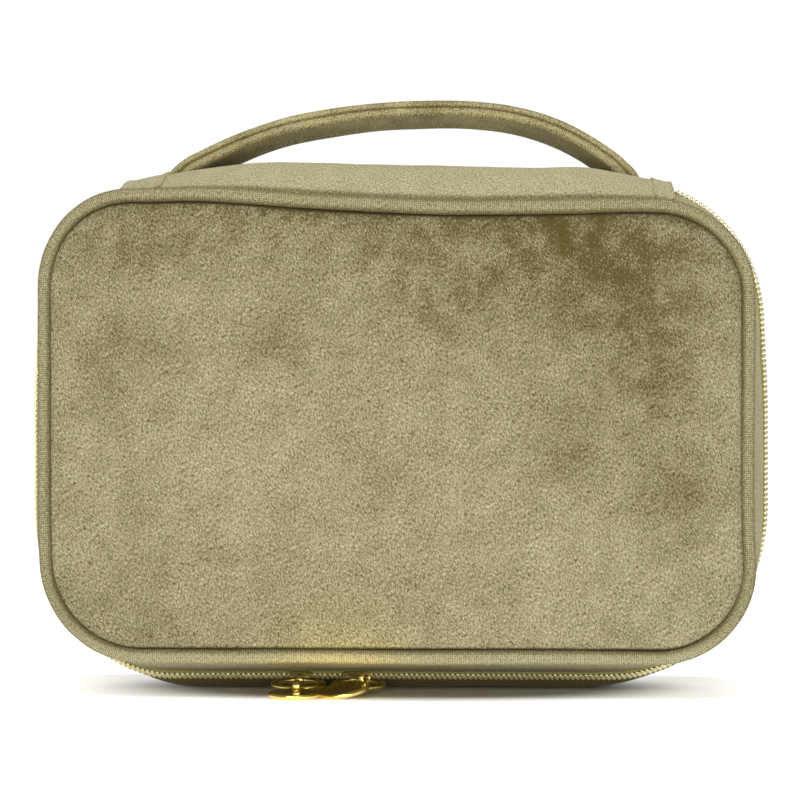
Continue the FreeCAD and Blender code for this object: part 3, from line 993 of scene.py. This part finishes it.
def lining_bowl(name, depths, wall_y, side, seed):
    """Lining of one shell: its walls and the sheet against the board."""
    rings = [body_ring(y, LINING_IN) for y in depths]
    last = rings[-1]
    bottom, top = last[:, 2].min(), last[:, 2].max()
    centre = ridge_under(last, last[:, 0].max(), bottom, top)
    fan = 16
    for k in range(1, fan + 1):
        share = k / fan
        ring = last * (1 - share) + centre * share
        ring[:, 1] = wall_y
        rings.append(ring)
    grid = np.stack(rings, axis=1)
    grid[..., 1] -= side * (wobble(grid, 28.0, 0.6, seed) + 0.3)
    cloth = np.stack([grid[..., 0] + grid[..., 1], grid[..., 2] + grid[..., 1], grid[..., 1]], axis=2)
    outer = grid.copy()
    outer[..., 1] += side * LINING_THICK
    walls = outer[:, :len(depths), [0, 2]]
    sideways = unit(walls - np.array([0.0, (bottom + top) / 2]))
    outer[:, :len(depths), [0, 2]] = walls + sideways * LINING_THICK
    piece = two_faced(name, grid, outer, cloth, side < 0, lining_cloth)
    weld(piece)
    return piece


lid_lining = lining_bowl("lid_lining_cloth", list(np.linspace(ZIP_Y - 3.2, WALL_FRONT_Y + 1, 8)),
                         box_mm("lid_lining")[0][1] + 0.9, -1, 31)
base_lining = lining_bowl("base_lining_cloth", list(np.linspace(ZIP_Y + 3.2, WALL_BACK_Y - 1, 10)),
                          box_mm("base_lining")[1][1] - 0.9, 1, 34)


def flat_cloth(name, node, material, side, bow, hem, seed):
    """Flat fitting sewn to the lining, filling its CAD solid, with a thicker hem along the top."""
    low, high = box_mm(node)
    xs = np.linspace(low[0], high[0], 80)
    zs = np.linspace(low[2], high[2], 24)
    face = low[1] if side > 0 else high[1]
    grid = np.zeros((len(xs), len(zs), 3))
    grid[..., 0] = xs[:, None]
    grid[..., 2] = zs[None, :]
    u = (xs - low[0]) / (high[0] - low[0])
    w = (zs - low[2]) / (high[2] - low[2])
    swell = np.sin(math.pi * u)[:, None] ** 0.5 * w[None, :] * bow
    grid[..., 1] = face - side * (swell + hem * smoothstep(0.88, 0.93, w)[None, :])
    grid[..., 1] -= side * np.abs(wobble(grid, 18.0, 0.25, seed))
    grid[..., 2] -= (np.sin(math.pi * u)[:, None] * w[None, :]) * 1.2
    return thick_sheet(name, grid, laid_flat(grid, 0, 2), 0.5, material, outward=side)


slip_pocket = flat_cloth("slip_pocket_cloth", "slip_pocket", lining_cloth, -1, 1.4, 0.5, 41)
brush_band = flat_cloth("brush_band_elastic", "brush_band", elastic_cloth, 1, 0.3, 0.0, 44)


# ======== strap handle
# Points on the strap's middle line, from its left foot to its right foot.
STRAP_X = [-72.5, -70.5, -67, -62, -57, -47.8, -35.2, -22.6, -10,
           5.7, 24.5, 34, 46.5, 56, 63, 68.5, 72, 73.5]
STRAP_Z = [156.0, 160.0, 163, 165.6, 168, 172, 176.1, 178.5, 180.2,
           181.1, 180.8, 179.6, 176.2, 171.8, 167.4, 163.3, 160, 156.5]
STRAP_WIDTH = 21.5
STRAP_THICK = 4.9
STRAP_ROLL = -6.5          # its front edge stands higher than its back edge


def strap_path(count):
    """Middle line of the strap, evenly spaced, and how far along it each point is, from 0 to 1."""
    chord = run_along(np.column_stack([STRAP_X, STRAP_Z]))
    knots = chord / chord[-1]
    fine = np.linspace(0, 1, 900)
    x = curve_through(knots, STRAP_X, fine)
    z = curve_through(knots, STRAP_Z, fine)
    run = run_along(np.column_stack([x, z]))
    even = np.linspace(0, run[-1], count)
    middle_y = (handle_low[1] + handle_high[1]) / 2 - 0.5
    path = np.column_stack([np.interp(even, run, x), np.full(count, middle_y), np.interp(even, run, z)])
    return path, even / run[-1]


def strap():
    """Padded velvet strap: two plies folded together, with a groove along each edge."""
    count = 220
    path, share = strap_path(count)
    across = np.tile([0.0, 1.0, 0.0], (count, 1))
    up = unit(np.cross(unit(np.gradient(path, axis=0)), across))
    roll = np.radians(STRAP_ROLL * smoothstep(0, 0.08, share) * (1 - smoothstep(0.92, 1, share)))
    side_a, side_b = turned(across, up, roll)
    foot = 1 - smoothstep(0, 0.07, share) * (1 - smoothstep(0.93, 1, share))
    half_width = STRAP_WIDTH / 2 * (1 - 0.12 * foot) + wobble(path, 26.0, 0.5, 51)
    half_thick = STRAP_THICK / 2 * (1 + 0.25 * foot) + wobble(path, 18.0, 0.2, 52)
    profile = []
    from_seam = []

    def point(a_share, a_extra, b_share, b_extra, seam=3.0):
        """Adds a point as shares of the half width and half thickness, plus extras in mm."""
        profile.append((a_share * half_width + a_extra, b_share * half_thick + b_extra))
        from_seam.append(seam)

    round_r = 0.9
    groove_at = 0.2
    for turn in (1, -1):
        for k in range(12):
            share = turn * (1 - 2 * k / 12)
            point(-share, share * round_r, turn, 0)
        for k in range(4):
            angle = math.radians(90 - 90 * k / 4)
            inwards, down = round_r * (math.cos(angle) - 1), round_r * (math.sin(angle) - 1)
            point(turn, turn * inwards, turn, turn * down)
        for k in range(15):
            share = turn * (1 - 2 * k / 14)
            groove = math.exp(-((share - groove_at) / 0.16) ** 2)
            point(turn, -turn * 0.6 * groove, share, -share * round_r, abs(share - groove_at) * 2.2)
        for k in range(1, 4):
            angle = math.radians(90 * k / 4)
            inwards, up_again = round_r * (math.cos(angle) - 1), round_r * (1 - math.sin(angle))
            point(turn, turn * inwards, -turn, turn * up_again)
    piece = tube("strap_velvet", path, side_a, side_b, profile, velvet_strap, closed=False)
    mark_seam(piece, np.tile(from_seam, count))
    return piece


strap_piece = strap()


# ======== zip hardware
def smooth_object(name, mesh, material):
    """A smooth shaded object from a bmesh, which is freed."""
    data = bpy.data.meshes.new(name)
    mesh.to_mesh(data)
    mesh.free()
    data.materials.append(material)
    data.polygons.foreach_set("use_smooth", [True] * len(data.polygons))
    return put(name, data)


def block(half_x, half_y, corner, low, high, bevel, place=(0.0, 0.0), narrower=0.0):
    """A flat block of the slider's metal with rounded corners and edges, between two heights; its
    +x end is narrower on each side."""
    steps = 6
    outline_points = []
    for sx, sy, start in ((1, 1, 0), (-1, 1, 90), (-1, -1, 180), (1, -1, 270)):
        edge_y = half_y - (narrower if sx > 0 else 0)
        for k in range(steps + 1):
            angle = math.radians(start + 90 * k / steps)
            outline_points.append((place[0] + sx * (half_x - corner) + corner * math.cos(angle),
                                   place[1] + sy * (edge_y - corner) + corner * math.sin(angle)))
    mesh = bmesh.new()
    bottom, top = [[mesh.verts.new((x * MM, y * MM, z * MM)) for x, y in outline_points]
                   for z in (low, high)]
    mesh.faces.new(bottom[::-1])
    mesh.faces.new(top)
    for i in range(len(bottom)):
        mesh.faces.new((bottom[i - 1], bottom[i], top[i], top[i - 1]))
    rim = [e for e in mesh.edges if abs(e.verts[0].co.z - e.verts[1].co.z) < 1e-9]
    bmesh.ops.bevel(mesh, geom=rim, offset=bevel * MM, segments=3, affect="EDGES", profile=0.5)
    return smooth_object("block", mesh, gold_slider)


def plain_ring(name, radius, wire, material, width=None):
    """Torus with its axis along Z; width stretches the wire's section along the axis."""
    around, sides = 72, 16
    points = []
    for i in range(around):
        a = 2 * math.pi * i / around
        for j in range(sides):
            b = 2 * math.pi * j / sides
            reach = radius + wire * math.cos(b)
            points.append((reach * math.cos(a), reach * math.sin(a), (width or wire) * math.sin(b)))
    return make_piece(name, points, grid_faces(around, sides, True, around=True), material)


def merge(name, pieces):
    """Joins several objects into one, keeping the shape that each shows. All of it gets the first
    one's material."""
    bpy.context.view_layer.update()
    mesh = bmesh.new()
    for piece in pieces:
        part = piece.data.copy()
        part.transform(piece.matrix_world)
        mesh.from_mesh(part)
        bpy.data.meshes.remove(part)
    joined = smooth_object(name, mesh, pieces[0].data.materials[0])
    data = joined.data
    rest = data.attributes.get("rest") or data.attributes.new("rest", "FLOAT_VECTOR", "POINT")
    places = np.array([v.co for v in data.vertices], np.float32) / MM
    rest.data.foreach_set("vector", places.ravel())
    for piece in pieces:
        bpy.data.objects.remove(piece)
    return joined


EYE_R = 1.5
EYE_WIRE = 0.42
ARM_ROOT_OUT = 2.2          # the arm starts this far out of the zip and in front of it,
ARM_ROOT_AHEAD = 2.6
ARM_REACH = 0.28            # and its middle lies this share of the way to the eye
ARM_DROP = 0.7


def slider(name, side):
    """Two plates with turned-in flanges round the coil, a post between them and an eye in front.
    Built with X along the zip, Y across it and Z out of the bag, then set on the zip."""
    low, high = box_mm("slider_" + name)
    centre_x = (low[0] + high[0]) / 2
    half = (high[0] - low[0]) / 2
    body = merge("slider_body_" + name, [
        block(half, 3.7, 1.6, 1.75, 2.7, 0.3, narrower=0.7),                    # outer plate
        block(half, 3.5, 1.6, -2.4, -1.6, 0.25, narrower=0.7),                  # inner plate
        block(half - 1.4, 0.9, 0.8, 2.5, 3.2, 0.3),                             # rib
        block(half - 1.0, 0.45, 0.4, 0.35, 2.2, 0.2, (0, -3.3)),                # flanges
        block(half - 1.0, 0.45, 0.4, 0.35, 2.2, 0.2, (0, 3.3)),
        block(1.1, 0.5, 0.4, -1.8, 1.9, 0.15, (side * (half - 1.3), 0)),        # post
    ])
    if side > 0:
        body.rotation_euler = (0, 0, math.pi)
    bpy.context.view_layer.update()
    middle = np.argmin(np.abs(zip_path[:, 0] - centre_x) + 1000 * (zip_path[:, 2] > 60))
    out, across = Vector(zip_out[middle]), Vector(zip_across[middle])
    along = across.cross(out)
    basis = Matrix((along, across, out)).transposed().to_4x4()
    place = Matrix.Translation(Vector((centre_x, ZIP_Y, zip_path[middle][2])) * MM) @ basis
    body.matrix_world = place @ body.matrix_world
    hinge = joint_place("pull_ring_" + name + "_swing")
    eye = plain_ring("eye", EYE_R, EYE_WIRE, gold_slider, 1.2)
    eye.matrix_world = Matrix.Translation(hinge) @ Matrix.Rotation(math.pi / 2, 4, "Y")
    arm = block(1.2, 1.1, 0.5, -0.45, 0.45, 0.25)
    root = Vector((centre_x, ZIP_Y - ARM_ROOT_AHEAD, ZIP_BOTTOM - ARM_ROOT_OUT)) * MM
    middle_place = root.lerp(hinge, ARM_REACH) - Vector((0, 0, ARM_DROP * MM))
    arm.matrix_world = Matrix.Translation(middle_place)
    return merge("slider_metal_" + name, [body, eye, arm])


def joint_place(name):
    """A joint's place at rest, in metres."""
    for joint in frame["record"]["behaviour"]["joints"]:
        if joint["name"] == name:
            return Vector(joint["pos_m"])
    raise ValueError(name)


RING_STRETCH = 1.15         # the ring is wider than it is long
PULL_YAW = {"left": 0.0, "right": 18.0}       # how far each ring has swung sideways
DISC_YAW = {"left": 0.0, "right": -62.0}       # each disc's turn in its ring
DISC_TILT = {"left": 3.0, "right": 13.0}       # each disc's slope, eye end up
RING_WIRE = 0.8
DISC_R = 8.2


def pull(name):
    """Ring through the slider's eye and a round disc with an eye of its own on the ring."""
    hinge = joint_place("pull_ring_" + name + "_swing")
    eye_place = joint_place("pull_disc_" + name + "_swing")
    span = eye_place - hinge
    yaw = math.radians(PULL_YAW[name])
    turn = Matrix.Rotation(yaw, 4, "Z")
    swung = turn @ span
    ring = plain_ring("pull_ring_wire_" + name, span.length / 2 / MM, RING_WIRE, gold_metal)
    drop = math.atan2(-span.z, -span.y)
    ring.matrix_world = (Matrix.Translation(hinge + swung / 2) @ turn
                         @ Matrix.Rotation(drop, 4, "X") @ Matrix.Diagonal((RING_STRETCH, 1, 1, 1)))
    disc = coin("pull_disc_metal_" + name)
    spin = Matrix.Rotation(yaw + math.radians(DISC_YAW[name]), 4, "Z")
    tilt = math.radians(DISC_TILT[name])
    lift = Vector((0, 0, math.sin(tilt) * (2 * DISC_R) * MM * 0.9))
    disc.matrix_world = (Matrix.Translation(hinge + swung + lift) @ spin
                         @ Matrix.Rotation(tilt, 4, "X"))
    return ring, disc


def coin(name):
    """Plain round disc with a raised rim and an eye; the eye's middle is at the origin and the disc
    lies towards -Y."""
    rim = [(0.0, 1.05), (5.9, 1.05), (6.5, 1.2), (6.9, 1.5), (7.5, 1.5), (7.95, 1.35),
           (DISC_R, 1.0), (DISC_R, 0.5), (7.95, 0.15), (7.5, 0.0), (0.0, 0.0)]
    around = 72
    points = []
    for i in range(around):
        angle = 2 * math.pi * i / around
        for r, z in rim:
            points.append((r * math.cos(angle), r * math.sin(angle), z))
    faces = [(a, d, c, b) for a, b, c, d in grid_faces(around, len(rim), True)]
    plate = make_piece("plate", points, faces, gold_metal)
    weld(plate)
    drop, ahead = 1.9, DISC_R + 0.9
    plate.matrix_world = Matrix.Translation(Vector((0, -ahead, -drop)) * MM)
    eye = plain_ring("eye", EYE_R, EYE_WIRE, gold_metal, 1.1)
    eye.matrix_world = Matrix.Rotation(math.pi / 2, 4, "Y")
    return merge(name, [plate, eye])


sliders, rings, discs = {}, {}, {}
for name, side in (("left", -1), ("right", 1)):
    sliders[name] = slider(name, side)
    rings[name], discs[name] = pull(name)


# ======== bodies and CAD nodes
def fit(piece, body, slot, *nodes, padded=None):
    """Puts a piece on its body, in place of its CAD nodes, which it hides. slot is not used."""
    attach(piece, body)
    if nodes:
        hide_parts(*nodes)


for shell, face, pieces in (
    ("lid", "front", (front_panel, front_piping, lid_gusset, lid_lining, lid_tape, lid_coil)),
    ("base", "back", (back_panel, back_piping, base_gusset, base_lining, base_tape, base_coil)),
):
    panel, cord, wall, lining, tape, coil = pieces
    fit(panel, shell, "velvet", face + "_panel", face + "_foam", face + "_board", padded=0.6)
    fit(cord, shell, "velvet_piping", face + "_piping", padded=1.0)
    fit(wall, shell, "velvet", shell + "_gusset", shell + "_gusset_foam", padded=0.3)
    fit(lining, shell, "lining", shell + "_lining")
    fit(tape, shell, "zip_tape", shell + "_zip_tape")
    fit(coil, shell, "zip_coil", shell + "_zip_coil")
fit(slip_pocket, "lid", "lining", "slip_pocket")
fit(brush_band, "base", "elastic", "brush_band")


for piece in (spine_velvet, spine_lining, *end_bands.values()):
    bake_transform(piece)
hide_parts("spine_front", "spine_rear")
for name, band in end_bands.items():
    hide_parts("zip_end_tab_" + name)

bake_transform(strap_piece)
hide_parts("handle_cover", "handle_webbing", "handle_root_left", "handle_root_right")

for name in ("left", "right"):
    fit(sliders[name], "slider_" + name, "gold", "slider_" + name)
    fit(rings[name], "pull_ring_" + name, "gold", "pull_ring_" + name)
    fit(discs[name], "pull_disc_" + name, "gold", "pull_disc_" + name)


# ======== stage, light and camera
def area_light(name, place, aim, size, watts, colour=(1, 1, 1)):
    """Soft rectangular light; places and size in metres."""
    data = bpy.data.lights.new(name, "AREA")
    data.shape = "RECTANGLE"
    data.size, data.size_y = size
    data.energy = watts
    data.color = colour
    lamp = put(name, data)
    lamp.location = place
    lamp.rotation_euler = (Vector(aim) - Vector(place)).to_track_quat("-Z", "Y").to_euler()
    lamp.visible_camera = False


def stage_floor():
    """White floor that glows, more away from the bag: painted light that keeps it bright and washes out
    the shadows there.
    """
    material = bpy.data.materials.new("floor_white")
    s = Shader(material)
    place = s.add("ShaderNodeTexCoord").outputs["Object"]
    tone = s.ramp(s.noise(place, 3.0, 2, 0.5), [(0, (0.90, 0.90, 0.90)), (1, (0.92, 0.92, 0.92))])
    s.link(tone, s.surface.inputs["Base Color"])
    s.set(Roughness=0.7, Specular_IOR_Level=0.1)
    squeeze = s.add("ShaderNodeVectorMath", operation="MULTIPLY")
    s.link(place, squeeze.inputs[0])
    squeeze.inputs[1].default_value = (0.5, 1, 1)
    away = s.add("ShaderNodeVectorMath", operation="LENGTH")
    s.link(squeeze.outputs["Vector"], away.inputs[0])
    # Painted light: the floor's glow, none under the bag and rising away from it.
    near = s.spread(away.outputs["Value"], 0.03, 0.052, 0.0, 0.62)
    far = s.spread(away.outputs["Value"], 0.08, 0.5, 0.0, 0.33)
    s.link(s.math("ADD", near, far), s.surface.inputs["Emission Strength"])
    s.surface.inputs["Emission Color"].default_value = (1, 1, 1, 1)
    mesh = bpy.data.meshes.new("floor")
    half, height = 40.0, -0.0002
    corners = [(x * half, y * half, height) for x, y in ((-1, -1), (1, -1), (1, 1), (-1, 1))]
    mesh.from_pydata(corners, [], [(0, 1, 2, 3)])
    mesh.materials.append(material)
    put("floor", mesh)


def studio_world():
    """Room that is white round the horizon and dimmer overhead."""
    world = bpy.data.worlds.new("studio")
    s = Shader(world, "Background")
    s.set(Color=(1, 1, 1, 1))
    split = s.add("ShaderNodeSeparateXYZ")
    s.link(s.add("ShaderNodeTexCoord").outputs["Generated"], split.inputs["Vector"])
    s.link(s.spread(split.outputs["Z"], 0.15, 0.32, 1.02, 0.2), s.surface.inputs["Strength"])
    bpy.context.scene.world = world


stage_floor()
studio_world()
area_light("key_softbox", (-0.35, -1.05, 1.30), (0, 0, 0.08), (0.8, 0.6), 10.1)
area_light("top_softbox", (0.15, 0.15, 1.2), (0, 0, 0.12), (0.7, 0.7), 7.8)
area_light("front_strip", (0.2, -2.1, 0.22), (0, 0, 0.04), (1.5, 0.3), 3.6)
area_light("low_strip", (0.0, -0.30, 0.008), (0, -0.02, 0.010), (0.5, 0.008), 0.12)
area_light("pull_bounce", (-0.017, -0.056, 0.004), (-0.017, -0.044, 0.014), (0.03, 0.004), 0.0026,
           (1.0, 0.78, 0.15))

bpy.context.scene.view_settings.view_transform = "Standard"

CAMERA_AZIMUTH = math.radians(2.2)
CAMERA_DISTANCE = 0.940         # from the bag's middle
CAMERA_HEIGHT = 0.0906
camera_data = bpy.data.cameras.new("camera")
camera_data.sensor_width = 36
camera_data.lens = 133.8
camera = put("camera", camera_data)
camera.location = (math.sin(CAMERA_AZIMUTH) * CAMERA_DISTANCE,
                   -math.cos(CAMERA_AZIMUTH) * CAMERA_DISTANCE, CAMERA_HEIGHT)
camera.rotation_euler = (math.pi / 2, 0, CAMERA_AZIMUTH)
bpy.context.scene.camera = camera
